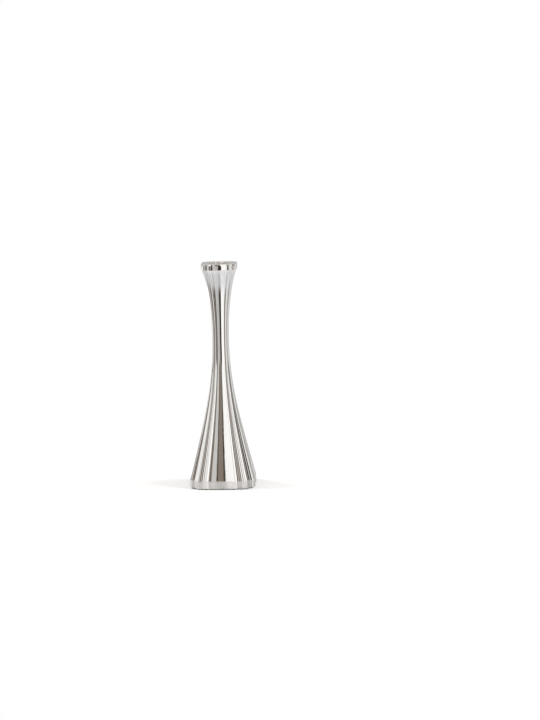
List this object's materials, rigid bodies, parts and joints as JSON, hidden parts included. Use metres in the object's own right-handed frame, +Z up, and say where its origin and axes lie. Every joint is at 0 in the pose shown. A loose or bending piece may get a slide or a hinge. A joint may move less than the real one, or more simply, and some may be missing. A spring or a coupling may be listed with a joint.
{
  "type": "candlestick",
  "caption": "Tall slender polished silver candlestick with a fluted rounded-square shell, narrow waist, plain rim and foot bands, and a lift-out candle nozzle.",
  "frame": {"origin": "centre of the underside of the felt pad, in the plane that it stands on", "axes": "+Z up along the candlestick towards the candle; +X and +Y each square to a flat side"},
  "size_m": [0.073, 0.073, 0.25],
  "materials": {
    "polished_silver": "mirror polished silver",
    "satin_silver": "satin silver",
    "brass": "plain turned brass",
    "steel": "zinc plated steel",
    "cast_iron": "raw casting",
    "felt": "wool felt"
  },
  "bodies": {
    "stand": {"upper_shell": "polished_silver", "lower_shell": "polished_silver", "rim_band": "polished_silver", "foot_band": "satin_silver", "seat_frame": "brass", "waist_sleeve": "brass", "rod_anchor": "brass", "tie_rod": "steel", "foot_weight": "cast_iron", "rod_washer": "steel", "rod_nut": "steel", "base_plate": "brass", "felt_pad": "felt"},
    "nozzle": {"nozzle_plate": "polished_silver", "candle_cup": "satin_silver"}
  },
  "joints": [
    {"name": "nozzle_lift", "type": "slide", "parent": "stand", "child": "nozzle", "axis": [0, 0, 1], "range_m": [0, 0.04]}
  ]
}
